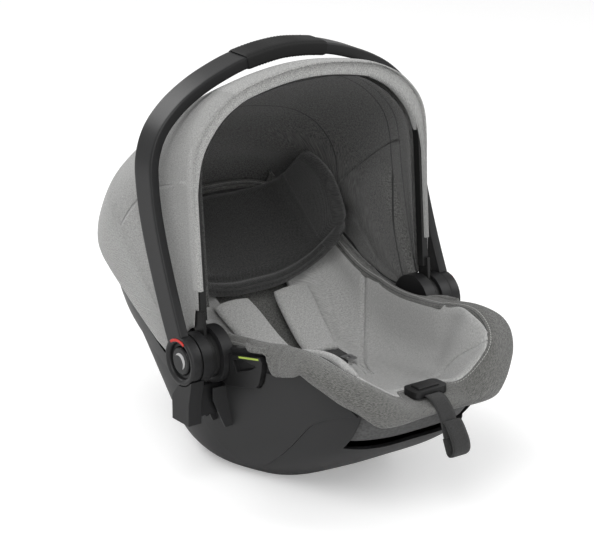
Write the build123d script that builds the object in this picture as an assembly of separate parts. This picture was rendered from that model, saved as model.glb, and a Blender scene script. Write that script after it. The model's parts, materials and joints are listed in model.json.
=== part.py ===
"""Infant car seat: rocker shell, padded seat, harness, turning carry handle, folding canopy.

Frame: +Z up, foot end at -Y, head end at +Y, origin under the middle of the seat.
All sizes in millimetres.
"""
import math
import os
from functools import lru_cache

from build123d import *

os.makedirs("parts", exist_ok=True)

# Driving sizes
HUB_Y = -34.0
HUB_Z = 185.0
WALL = 4.0
OUTER_X = 222.0
ARM_X = 206.0
RING_R = 33.0
BOSS_R = 23.95
BUTTON_R = 19.0
HOOP_DEG = 4.5
BACK_DEG = 40.0
STRIP_END = 82.0
SEAT_BACK = (0.0, 115.0, 172.0)
GAP = 0.3


def save(name, solid):
    """Write one node to parts/NAME.step."""
    solid.label = name
    export_step(solid, "parts/" + name + ".step")


def box(x0, x1, y0, y1, z0, z1):
    """Axis-aligned block from its six limits."""
    return Pos((x0 + x1) / 2, (y0 + y1) / 2, (z0 + z1) / 2) * Box(x1 - x0, y1 - y0, z1 - z0)


def side_prism(points, x0, x1):
    """Closed (y, z) polygon drawn out along X."""
    wire = Polyline(*[(x0, y, z) for y, z in points], close=True)
    return extrude(make_face(wire), amount=x1 - x0, dir=(1, 0, 0))


def side_curve_prism(curve, rest, x0, x1):
    """(y, z) spline closed by straight lines, drawn out along X."""
    top = Spline(*[(x0, y, z) for y, z in curve])
    corners = [curve[-1]] + rest + [curve[0]]
    lines = Polyline(*[(x0, y, z) for y, z in corners])
    return extrude(make_face([top, lines]), amount=x1 - x0, dir=(1, 0, 0))


def front_prism(points, y0, y1):
    """Closed (x, z) polygon drawn out along Y."""
    wire = Polyline(*[(x, y0, z) for x, z in points], close=True)
    return extrude(make_face(wire), amount=y1 - y0, dir=(0, 1, 0))


def plan_prism(points, z0, z1):
    """Closed (x, y) polygon drawn out along Z."""
    wire = Polyline(*[(x, y, z0) for x, y in points], close=True)
    return extrude(make_face(wire), amount=z1 - z0, dir=(0, 0, 1))


def x_rod(radius, x0, x1, y=HUB_Y, z=HUB_Z):
    """Cylinder along X."""
    return Pos((x0 + x1) / 2, y, z) * Rot(0, 90, 0) * Cylinder(radius, x1 - x0)


def mirrored(solid):
    return mirror(solid, about=Plane.YZ)


def biggest(shape):
    return max(shape.solids(), key=lambda s: s.volume)


# Shell body as a stack of plan outlines:
# height, front y, rear y, half width at the front, widest, at the rear
PLAN = [
    (0, -75, 98, 88, 108, 96),
    (14, -112, 124, 96, 130, 124),
    (48, -178, 150, 106, 147, 140),
    (98, -250, 186, 114, 158, 150),
    (150, -282, 234, 122, 166, 156),
    (205, -291, 284, 133, 171, 158),
    (250, -295, 296, 140, 174, 152),
    (330, -297, 284, 142, 172, 146),
]


@lru_cache(maxsize=None)
def shell_loft(grow, lift):
    """Smooth solid through the plan outlines, grown sideways and lifted."""
    faces = []
    mid = 15.0
    steps = [math.radians(a) for a in (0, 12, 26, 42, 58, 74, 90)]
    for z, front, rear, w_front, w_mid, w_rear in PLAN:
        half = []
        for t in steps:
            across = math.sin(t) ** 0.42
            along = max(math.cos(t), 0.0) ** 0.42
            x = (w_mid * (1 - along) + w_front * along + grow) * across
            half.append((x, mid + (front - grow - mid) * along))
        for t in reversed(steps[:-1]):
            across = math.sin(t) ** 0.5
            along = math.cos(t) ** 0.5
            x = (w_mid * (1 - along) + w_rear * along + grow) * across
            half.append((x, mid + (rear + grow - mid) * along))
        level = z + lift
        right = Spline(*[(x, y, level) for x, y in half], tangents=[(1, 0, 0), (-1, 0, 0)])
        left = Spline(*[(-x, y, level) for x, y in half], tangents=[(-1, 0, 0), (1, 0, 0)])
        faces.append(make_face([right, left]))
    return loft(faces)


# Seat hollow as sections along the seat: y, floor z, half width, corner height
HOLLOW = [
    (-246, 148, 92, 30),
    (-205, 130, 114, 44),
    (-115, 108, 134, 52),
    (-34, 99, 143, 54),
    (40, 118, 146, 50),
    (110, 168, 146, 42),
    (180, 227, 138, 34),
    (246, 283, 118, 28),
]


@lru_cache(maxsize=None)
def hollow_loft(grow):
    """Solid of the seat hollow, open to the sky, grown outwards."""
    faces = []
    for i, (y, floor, width, corner) in enumerate(HOLLOW):
        if i == 0:
            y = y - grow
        if i == len(HOLLOW) - 1:
            y = y + grow
        z = floor - 1.2 * grow
        w = width + grow
        right_low = Spline((0, y, z), (w * 0.62, y, z + corner * 0.10), (w, y, z + corner),
                           tangents=[(1, 0, 0), (0, 0, 1)])
        left_low = Spline((0, y, z), (-w * 0.62, y, z + corner * 0.10), (-w, y, z + corner),
                          tangents=[(-1, 0, 0), (0, 0, 1)])
        top = Polyline((w, y, z + corner), (w, y, 480), (-w, y, 480), (-w, y, z + corner))
        faces.append(make_face([right_low, top, left_low]))
    return loft(faces)


RIM = [
    (-345, 90), (-310, 135), (-284, 170), (-260, 199), (-231, 220), (-200, 226), (-169, 221),
    (-115, 210), (-34, 199), (40, 203), (80, 214), (112, 232), (150, 253), (190, 270), (240, 288), (285, 292),
    (345, 292),
]


@lru_cache(maxsize=None)
def above_rim(rise):
    """Everything over the side-view rim line and the dip at the front edge."""
    curve = [(y, z + rise) for y, z in RIM]
    upper = side_curve_prism(curve, [(345, 700), (-345, 700)], -270, 270)
    half = [(140, 246), (126, 222), (108, 197), (95, 180), (80, 167), (45, 160)]
    low = [(-x, z) for x, z in half] + [(0, 158)] + list(reversed(half))
    dip_line = Spline(*[(x, -345, z + rise) for x, z in low])
    dip_top = Line((140, -345, 246 + rise), (-140, -345, 246 + rise))
    dip = extrude(make_face([dip_line, dip_top]), amount=107, dir=(0, 1, 0))
    return upper + dip


# Rubber feet let into the flat of the bottom
foot = box(58, 84, -40, 60, 0, 2.5)
body_outer = shell_loft(0, 0) - foot - mirrored(foot)
body_inner = shell_loft(-WALL, 5)
sky = above_rim(0)

# Hub mounts, one each side: flange in the wall, canopy boss, disc, handle boss
hub_mount = x_rod(38, 160, 176.6) + x_rod(19.9, 176.6, 190) + x_rod(34, 190, 205)
hub_mount = hub_mount + x_rod(BOSS_R, 205, 216) - x_rod(19.6, 199, 217)
hub_mount = hub_mount - x_rod(12, 150, 172)

# Outer shell
shell = (body_outer - sky) - body_inner
shell = shell - box(-98, 98, -330, -205, 98, 320)
for side in (-1, 1):
    seat_cut = x_rod(38, 160, 200) if side > 0 else x_rod(38, -200, -160)
    shell = shell - seat_cut
outer_shell = biggest(shell)

# Belt guides on the shell wall over the lap-belt run, both sides
guide_outline = [(-52, 191), (-80, 197.4), (-115, 203.6), (-130, 207), (-133, 200), (-130, 187),
                 (-122, 167), (-116, 160), (-86, 152), (-62, 148), (-52, 153)]
guide_block = side_prism(guide_outline, 100, 200) - x_rod(38.8, 100, 220)
guide_skin = (shell_loft(8, 0) & guide_block) - shell_loft(GAP, 0)
guide_pocket = side_curve_prism([(-121, 192), (-108, 183), (-95, 178), (-84, 173)],
                                [(-80, 190), (-98, 195)], 100, 200)
guide = biggest(guide_skin - (guide_pocket - shell_loft(2.6, 0)))
marker_block = side_prism([(-127, 204.6), (-92, 198.4), (-92.6, 196.0), (-127.6, 202.2)], 100, 200)
marker = biggest((shell_loft(8.8, 0) & marker_block) - shell_loft(8.02, 0))

# Raised side panel with the swept lower edge, and the ribs under each hub
crease = [(-258, 152.4), (-243, 151), (-222, 143), (-197, 129), (-165, 99), (-128, 65), (-88, 35),
          (-58, 19), (-36, 17), (-22, 33), (-2, 53), (10, 74)]
panel_top = [(5, 92), (-46, 100), (-46, 145.6), (-62, 146.8), (-87, 150.8), (-117, 158.8),
             (-123.4, 166), (-131, 184.8), (-144, 184.2), (-174, 192.0), (-200, 200.8), (-208, 206.6),
             (-217, 203.6), (-234, 186.6), (-251, 167.4), (-258, 155.2)]
panel_block = side_curve_prism(crease, panel_top, 98.5, 200)
side_panel = (shell_loft(2.0, 0) & panel_block) - shell_loft(GAP, 0)
for y in (-3, -20, -49):
    rib = front_prism([(130, 84), (161, 84), (180, 126), (180, 143), (130, 143)], y - 1.3, y + 1.3)
    side_panel = side_panel + (rib - shell_loft(GAP, 0))
side_panel = biggest(side_panel)

# Black strip round the head end, lower than the fabric
strip_low = [(40, 112), (96, 132), (160, 160), (250, 196), (345, 214), (345, 244), (250, 228),
             (160, 190), (84, 150), (36, 136)]
strip_block = side_prism(strip_low, -240, 240)
strip_back = side_prism([(20, 80), (345, 150), (345, 300), (20, 200)], -240, 240)
strip = (shell_loft(4.0, 0) & strip_block) - (shell_loft(1.2, 0) & strip_back)
rim_strip = biggest(strip & box(STRIP_END, 240, 0, 345, 0, 400))

# Foam liner
foam = (hollow_loft(26) - hollow_loft(3.3)) & shell_loft(-WALL - GAP, 5 + GAP)
foam = foam - above_rim(-1)
for side in (-1, 1):
    cut = x_rod(39, 150, 200) if side > 0 else x_rod(39, -200, -150)
    foam = foam - cut
foam_liner = biggest(foam)

# Seat cover: skin of the hollow and the border folded over the rim
skirt_low = [(-345, 137), (-284, 137), (-273, 140), (-262, 150), (-250, 171), (-234, 189), (-217, 206),
             (-208, 209), (-200, 203), (-174, 194), (-143, 186), (-136, 197), (-132, 209.4),
             (-115, 205.4), (-80, 199.4), (-80, 500), (-345, 500)]
skirt_zone = side_prism(skirt_low, -260, 260)
border = shell_loft(3.2, 0) & skirt_zone
border = (border - above_rim(6)) - shell_loft(GAP, 0)
lid_zone = above_rim(GAP) - above_rim(6)
lid = (lid_zone & shell_loft(3.2, 0)) - hollow_loft(0)
lid_front = lid & box(-260, 260, -345, -76, 0, 500)
lid_rear = (lid & box(-260, 260, -77, 345, 0, 500)) & shell_loft(0, 0)
skin = (hollow_loft(3) - hollow_loft(0)) - above_rim(6)
skin = skin & shell_loft(-WALL - 1, 6)
cover = border + lid_front + lid_rear + skin
for side in (-1, 1):
    cut = x_rod(39, 150, 220) if side > 0 else x_rod(39, -220, -150)
    cover = cover - cut
seat_cover = biggest(cover)

# Light insert pad in the seat part of the hollow
insert_zone = side_prism([(-300, 60), (70, 60), (62, 140), (20, 196), (-34, 190), (-115, 200),
                          (-200, 222), (-244, 228), (-262, 216), (-300, 210)], -200, 200)
insert = (hollow_loft(-GAP) - hollow_loft(-13)) & insert_zone
insert = insert - above_rim(-2)
seat_insert = biggest(insert)

save("outer_shell", outer_shell)
save("rim_strip_right", rim_strip)
save("rim_strip_left", mirrored(rim_strip))
save("foam_liner", foam_liner)
save("seat_cover", seat_cover)
save("seat_insert", seat_insert)
save("belt_guide_right", guide)
save("belt_guide_left", mirrored(guide))
save("belt_marker_right", marker)
save("belt_marker_left", mirrored(marker))
save("side_panel_right", side_panel)
save("side_panel_left", mirrored(side_panel))
save("hub_mount_right", hub_mount)
save("hub_mount_left", mirrored(hub_mount))

# Carry handle: front-view arch cut to the leaning side view
ARCH_OUT = [(222, 395), (219, 438), (204, 474), (178, 502), (146, 523), (108, 540), (62, 553),
            (0, 560)]
ARCH_IN = [(206, 395), (203, 432), (190, 464), (166, 489), (136, 508), (100, 523), (58, 535),
           (0, 541)]
LEAN = [(-34, 185), (-8, 240), (13, 290), (31, 340), (43, 390), (50, 450), (52, 510), (52, 575)]


def arch_face(half, bottom, y):
    """Face under a mirrored half arch given as half width against height."""
    right = Spline(*[(x, y, z) for x, z in half], tangents=[(0, 0, 1), (-1, 0, 0)])
    left = Spline(*[(-x, y, z) for x, z in half], tangents=[(0, 0, 1), (1, 0, 0)])
    x, z = half[0]
    legs = Polyline((-x, y, z), (-x, y, bottom), (x, y, bottom), (x, y, z))
    return make_face([right, left, legs])


def arch_solid(half, bottom, y0, y1):
    """Arch in front view drawn out along Y."""
    return extrude(arch_face(half, bottom, y0), amount=y1 - y0, dir=(0, 1, 0))


def raised(curve, rise):
    return [(x, z + rise) for x, z in curve]


def lean_band(half_low, half_top):
    """Side view of the handle: a band about the leaning centre line."""
    front = []
    rear = []
    for i, (y, z) in enumerate(LEAN):
        ya, za = LEAN[max(i - 1, 0)]
        yb, zb = LEAN[min(i + 1, len(LEAN) - 1)]
        size = math.hypot(yb - ya, zb - za)
        share = i / (len(LEAN) - 1)
        half = half_low + (half_top - half_low) * share
        front.append((y - half * (zb - za) / size, z + half * (yb - ya) / size))
        rear.append((y + half * (zb - za) / size, z - half * (yb - ya) / size))
    a = Spline(*[(-240, y, z) for y, z in front])
    b = Line((-240, *front[-1]), (-240, *rear[-1]))
    c = Spline(*[(-240, y, z) for y, z in reversed(rear)])
    d = Line((-240, *rear[0]), (-240, *front[0]))
    return extrude(make_face([a, b, c, d]), amount=480, dir=(1, 0, 0))


arch = arch_solid(ARCH_OUT, 150, -120, 160) - arch_solid(ARCH_IN, 140, -121, 161)
bow = arch & lean_band(17.5, 21)
grip_zone = box(-68, 68, -20, 120, 500, 600)
core = arch_solid(raised(ARCH_OUT, -5), 150, -120, 160)
core = core - arch_solid(raised(ARCH_IN, 5), 140, -121, 161)
core = core & lean_band(13, 15) & box(-72, 72, -20, 120, 480, 600)
grip = (bow & grip_zone) - core
rings = x_rod(RING_R, 205.6, OUTER_X) + x_rod(RING_R, -OUTER_X, -205.6)
bow = bow - grip_zone + core + rings
bow = bow - x_rod(24.0, 180, 260) - x_rod(24.0, -260, -180)
handle_bow = biggest(bow)
handle_grip = biggest(grip)

# Red state lens on the ring, above the button
lens = x_rod(30.5, OUTER_X, OUTER_X + 0.8) - x_rod(27.0, 200, 240)
lens = lens & side_prism([(HUB_Y, HUB_Z), (HUB_Y - 22, HUB_Z + 45), (HUB_Y + 34, HUB_Z + 45)],
                         200, 240)
lens = biggest(lens)

# Lock button in each hub, with a pale crescent set on its face
button = x_rod(BUTTON_R, 208, 219.5)
button = fillet(button.edges().group_by(Axis.X)[-1], 3.0)
crescent = x_rod(11, 219.5, 220.1) - x_rod(11, 200, 240, HUB_Y + 4, HUB_Z - 4)

# Fixed dock leg under each hub with a socket for a pram adapter
leg_line = [(-27, -22), (-20, -56), (-19, -85), (19, -85), (19, -52), (4, -34), (-10, -30)]
leg = side_prism([(HUB_Y + y, HUB_Z + z) for y, z in leg_line], 200.5, 220.5)
web = box(120, 203, HUB_Y - 7, HUB_Y + 7, 104, 146)
leg = leg + web - x_rod(34.1, 150, 205.1) - x_rod(33.8, 204, 240) - shell_loft(0, 0)
leg = leg - box(205, 214.5, HUB_Y - 13, HUB_Y + 13, 90, 140)
dock_leg = biggest(leg)

# Canopy bows about the hub axis: outlines as half width against distance from the axis
HOOP_OUT = [(187, 227), (184, 262), (173, 289), (149, 316), (121, 334), (94, 344), (46, 353),
            (0, 356)]
HOOP_IN = [(178, 215), (175, 248), (166, 273), (148, 297), (125, 314), (97, 325), (50, 333),
           (0, 336)]


def hoop_band(outer, inner, start, deep):
    """Bow of a given depth standing upright over the hub axis."""
    y0 = HUB_Y - deep / 2
    y1 = HUB_Y + deep / 2
    big = arch_solid(raised(outer, HUB_Z), HUB_Z + start, y0, y1)
    small = arch_solid(raised(inner, HUB_Z), HUB_Z + start - 5, y0 - 1, y1 + 1)
    return big - small


def turned(solid, degrees):
    """Turn back about the hub axis."""
    return solid.rotate(Axis((0, HUB_Y, HUB_Z), (1, 0, 0)), -degrees)


def eye_pair(x0, x1):
    return x_rod(30, x0, x1) + x_rod(30, -x1, -x0)


def bores(radius):
    return x_rod(radius, 150, 230) + x_rod(radius, -230, -150)


hoop = hoop_band(HOOP_OUT, HOOP_IN, 48, 12)
hoop_legs = box(182.7, 187, HUB_Y - 10, HUB_Y + 10, HUB_Z, HUB_Z + 60)
hoop = hoop + hoop_legs + mirrored(hoop_legs) + eye_pair(182.7, 188.7) - bores(19.95)
canopy_hoop = turned(hoop, HOOP_DEG)

MID_OUT = [(x * 0.968, r * 0.965) for x, r in HOOP_OUT]
MID_IN = [(x * 0.946, r * 0.945) for x, r in HOOP_OUT]
mid = hoop_band(MID_OUT, MID_IN, 26, 8)
mid = mid + eye_pair(177.0, 182.2) - bores(19.95)
mid_hoop = turned(mid, 56)


def turned_sheet(outer, thick, start, a0, a1):
    """Thin arched sheet swept about the hub axis between two angles from upright."""
    axis = Axis((0, HUB_Y, HUB_Z), (1, 0, 0))
    inner = [(x - thick if x else 0.0, r - thick) for x, r in outer]
    big = revolve(arch_face(raised(outer, HUB_Z), HUB_Z + start, HUB_Y), axis=axis,
                  revolution_arc=a1 - a0)
    small = revolve(arch_face(raised(inner, HUB_Z), HUB_Z + start - 6, HUB_Y), axis=axis,
                    revolution_arc=a1 - a0 + 4)
    return turned(big, a1) - turned(small, a1 + 2)


def slack_sheet(outer, thick, start, stations):
    """Arched sheet lofted over (angle, tautness) stations, so it sags between the bows."""
    def stack(cut, low, spread):
        faces = []
        for i, (angle, taut) in enumerate(stations):
            if i == 0:
                angle = angle - spread
            if i == len(stations) - 1:
                angle = angle + spread
            half = [(x - cut if x else 0.0, r * taut - cut + HUB_Z) for x, r in outer]
            faces.append(turned(arch_face(half, HUB_Z + low, HUB_Y), angle))
        return loft(faces)
    return stack(0.0, start, 0.0) - stack(thick, start - 6, 1.5)


FABRIC = [(x + (2.4 if x else 0.0), r + 2.4) for x, r in HOOP_OUT]
SLACK = [(1.5, 1.0), (7.5, 1.0), (16, 0.97), (28, 0.938), (40, 0.93), (50, 0.958), (60, 0.984),
         (76, 0.985)]
canopy_fabric = slack_sheet(FABRIC, 2.0, 62, SLACK)
LINING = [(x - (0.4 if x else 0.0), r - 0.5) for x, r in HOOP_IN]
canopy_lining = slack_sheet(LINING, 1.4, 125, [(4.5, 1.0), (8, 0.996), (16, 0.968), (28, 0.936),
                                               (42, 0.93)])
PANEL = [(x * 0.962, r * 0.975) for x, r in FABRIC]
panel = turned_sheet(PANEL, 2.0, 66, 76.5, 116)
under_strip = side_prism([(-60, -50), (345, -50), (345, 246), (250, 230), (160, 192), (84, 152),
                          (36, 138), (-60, 138)], -260, 260)
rear_panel = biggest(panel - under_strip - box(-260, 260, -60, 44, 0, 400))

# Headrest: winged pad and its carrier, drawn square to the back and slid along it
back = math.radians(BACK_DEG)
along_back = Plane(origin=SEAT_BACK, x_dir=(1, 0, 0), z_dir=(0, math.cos(back), math.sin(back)))
cup = make_face(Polyline((-122, -150), (-122, -16), (122, -16), (122, -150), close=True))
cup = fillet(cup.vertices().group_by(Axis.Y)[-1], 50)
hollow = make_face(Polyline((-98, -170), (-98, -41), (98, -41), (98, -170), close=True))
hollow = fillet(hollow.vertices().group_by(Axis.Y)[-1], 42)
pad = extrude(cup - hollow, amount=190)
WING = [(42, 6), (62, 12), (90, 19), (110, 29), (123, 44), (131, 63), (138, 84), (139, 103),
        (132, 132), (115, 155), (92, 170)]
wing_edge = Spline(*[(-200, -n, s) for n, s in WING])
wing_rest = Polyline((-200, -92, 170), (-200, -10, 170), (-200, -10, 6), (-200, -42, 6))
pad = pad & extrude(make_face([wing_edge, wing_rest]), amount=400, dir=(1, 0, 0))
headrest_pad = biggest(along_back * pad)
plate = Pos(0, -10.35, 82) * Box(150, 10.7, 104)
headrest_plate = along_back * plate

# Harness
pad_line = [(-8, 131.2), (20, 132.9), (24, 134.6), (99, 184.6), (93, 195), (17, 144.8), (8, 141.2),
            (-8, 140.4)]
pad_plan = [(9, -12), (60, -12), (80, 104), (24, 104)]
shoulder_pad = side_prism(pad_line, 0, 100) & plan_prism(pad_plan, 100, 220)
strap_line = [(104, 184.8), (22, 130.3), (-29.6, 127.6), (-29.6, 129.2), (21.4, 132.0), (103, 186.3)]
strap_plan = [(24, -40), (58, -40), (69, 114), (35, 114)]
shoulder_strap = side_prism(strap_line, 0, 100) & plan_prism(strap_plan, 100, 220)
tongue = box(13, 24, -52, -30, 128.5, 130.9) + box(22, 58, -46, -30, 128.5, 130.9)
tongue = tongue - box(29, 52, -43, -34, 100, 140)
buckle = box(-23.5, 23.5, -78, -38, 123, 142.5)
buckle = fillet(buckle.edges().filter_by(Axis.Z), 8)
buckle = buckle - box(-12, 12, -74, -52, 134.5, 150) - box(12.5, 30, -53, -26, 128.1, 131.3)
buckle = biggest(buckle - box(-30, -12.5, -53, -26, 128.1, 131.3))
buckle_button = box(-11.6, 11.6, -73.6, -52.4, 138.1, 144)
buckle_button = fillet(buckle_button.edges().group_by(Axis.Z)[-1], 1.5)
crotch_pad = side_prism([(-98, 122.6), (-40, 116.4), (-40, 118.2), (-78, 122.6), (-98, 124.6)], -22, 22)

# Harness adjuster in the dip of the front border, and its pull strap
adjuster = box(-27, 27, -280, -250, 165.2, 174.8)
adjuster = fillet(adjuster.edges().filter_by(Axis.Z), 9)
adjuster = adjuster - box(-17, 17, -273, -256, 167.8, 230)
adjuster_frame = adjuster - box(-13.4, 13.4, -288, -272, 166.4, 169.2)
adjuster_button = box(-16.6, 16.6, -272.6, -256.4, 171.2, 176.8)
adjuster_button = fillet(adjuster_button.edges().group_by(Axis.Z)[-1], 1.6)
strap_path = [(-273.5, 168.5), (-288, 168.5), (-291.6, 163.9), (-291.6, 112), (-290.2, 112),
              (-290.2, 163.4), (-287.4, 167.0), (-273.5, 167.0)]
pull_strap = side_prism(strap_path, -13, 13)
loop = side_prism([(-291.9, 138), (-295, 138), (-311, 112), (-311, 94), (-302, 85), (-291.9, 92)],
                  -13, 13)
loop = loop - side_prism([(-294, 134), (-308.8, 111), (-308.8, 95), (-301.2, 87.8), (-294, 92.8)],
                         -30, 30)
pull_loop = biggest(loop)

# Shoulder-belt hook on the rear of the shell
hook = side_prism([(150, 96), (204, 96), (237, 132), (150, 132)], -62, 62) - shell_loft(0, 0)
hook = hook - side_prism([(192.4, 101), (204, 101), (228, 127), (216.4, 127)], -52, 70)
belt_hook = biggest(hook)

save("foot_right", foot)
save("foot_left", mirrored(foot))
save("handle_bow", handle_bow)
save("handle_grip", handle_grip)
save("state_lens_right", lens)
save("state_lens_left", mirrored(lens))
save("lock_button_right", button)
save("lock_button_left", mirrored(button))
save("button_mark_right", biggest(crescent))
save("button_mark_left", mirrored(biggest(crescent)))
save("dock_leg_right", dock_leg)
save("dock_leg_left", mirrored(dock_leg))
save("canopy_hoop", canopy_hoop)
save("mid_hoop", mid_hoop)
save("canopy_fabric", canopy_fabric)
save("canopy_lining", canopy_lining)
save("rear_panel", rear_panel)
save("headrest_pad", headrest_pad)
save("headrest_plate", headrest_plate)
save("shoulder_pad_right", shoulder_pad)
save("shoulder_pad_left", mirrored(shoulder_pad))
save("shoulder_strap_right", shoulder_strap)
save("shoulder_strap_left", mirrored(shoulder_strap))
save("buckle_tongue_right", tongue)
save("buckle_tongue_left", mirrored(tongue))
save("buckle_body", buckle)
save("buckle_button", buckle_button)
save("crotch_pad", crotch_pad)
save("adjuster_frame", adjuster_frame)
save("adjuster_button", adjuster_button)
save("pull_strap", pull_strap)
save("pull_loop", pull_loop)
save("belt_hook", belt_hook)
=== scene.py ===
"""Infant car seat dressed for the studio: moulded shell, fabric cover, harness, handle and canopy.

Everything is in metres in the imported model's own frame: +Z up, foot end at -Y, head end at +Y.
"""
import json
import math

import bmesh
import bpy
import numpy as np
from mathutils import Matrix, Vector

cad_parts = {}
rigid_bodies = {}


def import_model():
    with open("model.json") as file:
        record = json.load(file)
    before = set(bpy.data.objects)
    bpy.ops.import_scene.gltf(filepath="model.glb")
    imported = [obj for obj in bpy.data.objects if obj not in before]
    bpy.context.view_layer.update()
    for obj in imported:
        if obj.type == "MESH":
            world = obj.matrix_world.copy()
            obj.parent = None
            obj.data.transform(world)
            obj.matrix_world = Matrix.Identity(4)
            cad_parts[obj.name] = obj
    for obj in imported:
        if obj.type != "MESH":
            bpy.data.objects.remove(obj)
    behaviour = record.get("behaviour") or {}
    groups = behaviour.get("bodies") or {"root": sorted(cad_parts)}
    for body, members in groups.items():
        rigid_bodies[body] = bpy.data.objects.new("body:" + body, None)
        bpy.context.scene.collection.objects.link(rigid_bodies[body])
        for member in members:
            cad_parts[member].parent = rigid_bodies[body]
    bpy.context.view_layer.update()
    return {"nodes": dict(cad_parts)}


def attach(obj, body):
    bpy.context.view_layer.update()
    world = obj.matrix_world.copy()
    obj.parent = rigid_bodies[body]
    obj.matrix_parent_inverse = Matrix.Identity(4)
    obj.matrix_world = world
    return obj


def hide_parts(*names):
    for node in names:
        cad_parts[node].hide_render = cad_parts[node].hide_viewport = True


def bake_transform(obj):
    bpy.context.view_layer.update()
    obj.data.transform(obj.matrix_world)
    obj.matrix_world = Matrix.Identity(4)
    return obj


# Imported model: the rigid frame that every other piece is fitted to.
bpy.ops.object.select_all(action="SELECT")
bpy.ops.object.delete()
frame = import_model()
node = frame["nodes"]

# Studio camera: a long lens from the foot end, a little left of the seat and above it.
# The picture is 594 by 542, so the lens follows from the fitted focal length in pixels.
AZIMUTH = math.radians(-36)
ELEVATION = math.radians(19.47)
DISTANCE = 3.493
AIM = Vector((0.0, 0.0119, 0.2498))
FOCAL_PIXELS = 2604
PICTURE_WIDTH = 594
SENSOR_WIDTH = 36.0
back = Vector((math.sin(AZIMUTH) * math.cos(ELEVATION),
               -math.cos(AZIMUTH) * math.cos(ELEVATION),
               math.sin(ELEVATION)))
camera = bpy.data.objects.new("camera", bpy.data.cameras.new("camera"))
bpy.context.scene.collection.objects.link(camera)
camera.data.sensor_width = SENSOR_WIDTH
camera.data.lens = FOCAL_PIXELS * SENSOR_WIDTH / PICTURE_WIDTH
camera.location = AIM + DISTANCE * back
camera.rotation_mode = "QUATERNION"
camera.rotation_quaternion = (-back).to_track_quat("-Z", "Y")
camera.data.clip_end = 60
bpy.context.scene.camera = camera
bpy.context.scene.view_settings.view_transform = "Standard"

# Outer shell: one injection moulding in dark polypropylene with a fine matt grain.
# The rubber feet are let into its flat bottom and the belt hook is screwed on behind.


class Wire:
    """One value in a finish. Python operators on it add Math nodes; add() makes any other node."""

    def __init__(self, tree, socket):
        self.tree = tree
        self.socket = socket

    def add(self, kind, settings, inputs, out=0):
        """A node of that kind: its settings first, then its sockets, as values or as wires."""
        made = self.tree.nodes.new(kind)
        for name, value in settings.items():
            setattr(made, name, value)
        for key, value in inputs.items():
            if isinstance(value, Wire):
                self.tree.links.new(value.socket, made.inputs[key])
            else:
                made.inputs[key].default_value = value
        return Wire(self.tree, made.outputs[out])

    def math(self, operation, a, b=0.0):
        return self.add("ShaderNodeMath", {"operation": operation}, {0: a, 1: b})

    def __add__(self, other):
        return self.math("ADD", self, other)

    def __radd__(self, other):
        return self.math("ADD", other, self)

    def __sub__(self, other):
        return self.math("SUBTRACT", self, other)

    def __rsub__(self, other):
        return self.math("SUBTRACT", other, self)

    def __mul__(self, other):
        return self.math("MULTIPLY", self, other)

    def __rmul__(self, other):
        return self.math("MULTIPLY", other, self)

    def sine(self):
        return self.math("SINE", self)

    def size(self):
        return self.math("ABSOLUTE", self)

    def above(self, level):
        return self.math("GREATER_THAN", self, level)

    def spots(self, scale, detail=2.0, rough=0.5):
        """Noise over this vector, 0 to 1."""
        return self.add("ShaderNodeTexNoise", {}, {"Vector": self, "Scale": scale, "Detail": detail,
                                                   "Roughness": rough})

    def drawn(self, along, across):
        """This vector scaled differently on its axes, for fibres that run one way."""
        return self.add("ShaderNodeMapping", {}, {"Vector": self, "Scale": (along, across, 1.0)})

    def part(self, axis):
        """One number of this vector."""
        return self.add("ShaderNodeSeparateXYZ", {}, {0: self}, out=axis)

    def tint(self, low, high):
        """A colour between two colours by this value."""
        return self.add("ShaderNodeMix", {"data_type": "RGBA"},
                        {0: self, 6: (*low, 1.0), 7: (*high, 1.0)}, out=2)

    def over(self, colour, under):
        """A flat colour laid over a colour wire where this value is 1."""
        return self.add("ShaderNodeMix", {"data_type": "RGBA"},
                        {0: self, 6: under, 7: (*colour, 1.0)}, out=2)


def start_finish(name):
    """A new finish: the material, its Object coordinates and its UV map in metres."""
    material = bpy.data.materials.new(name)
    material.use_nodes = True
    tree = material.node_tree
    place = tree.nodes.new("ShaderNodeTexCoord")
    return material, Wire(tree, place.outputs["Object"]), Wire(tree, place.outputs["UV"])


def end_finish(material, colour, rough, height=None, depth=0.001, edge=0.0, **fixed):
    """Joins colour, roughness and a bump of that depth to the shader and sets its fixed values."""
    tree = material.node_tree
    shader = tree.nodes["Principled BSDF"]
    for key, value in (("Base Color", colour), ("Roughness", rough)):
        if isinstance(value, Wire):
            tree.links.new(value.socket, shader.inputs[key])
        else:
            shader.inputs[key].default_value = value if key == "Roughness" else (*value, 1.0)
    for key, value in fixed.items():
        shader.inputs[key.replace("_", " ")].default_value = value
    inputs = {"Strength": 1.0, "Distance": depth}
    if height is not None:
        inputs["Height"] = height
    if edge:
        inputs["Normal"] = Wire(tree, None).add("ShaderNodeBevel", {"samples": 4}, {"Radius": edge})
    if height is not None or edge:
        bump = Wire(tree, None).add("ShaderNodeBump", {}, inputs)
        tree.links.new(bump.socket, shader.inputs["Normal"])
    return material


def moulded(name, colour, rough, grain, depth, edge=0.0012):
    """Moulded plastic: fine spark-eroded grain, a little uneven gloss and rounded edges."""
    material, place, _ = start_finish(name)
    grainy = place.spots(1.0 / grain, 3.0, 0.6)
    broad = place.spots(14.0, 3.0)
    low = tuple(c * 0.86 for c in colour)
    high = tuple(c * 1.14 for c in colour)
    shade = (broad * 0.7 + grainy * 0.3).tint(low, high)
    gloss = rough - 0.06 + broad * 0.1 + grainy * 0.04
    return end_finish(material, shade, gloss, grainy, depth, edge, Specular_IOR_Level=0.3)


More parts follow.
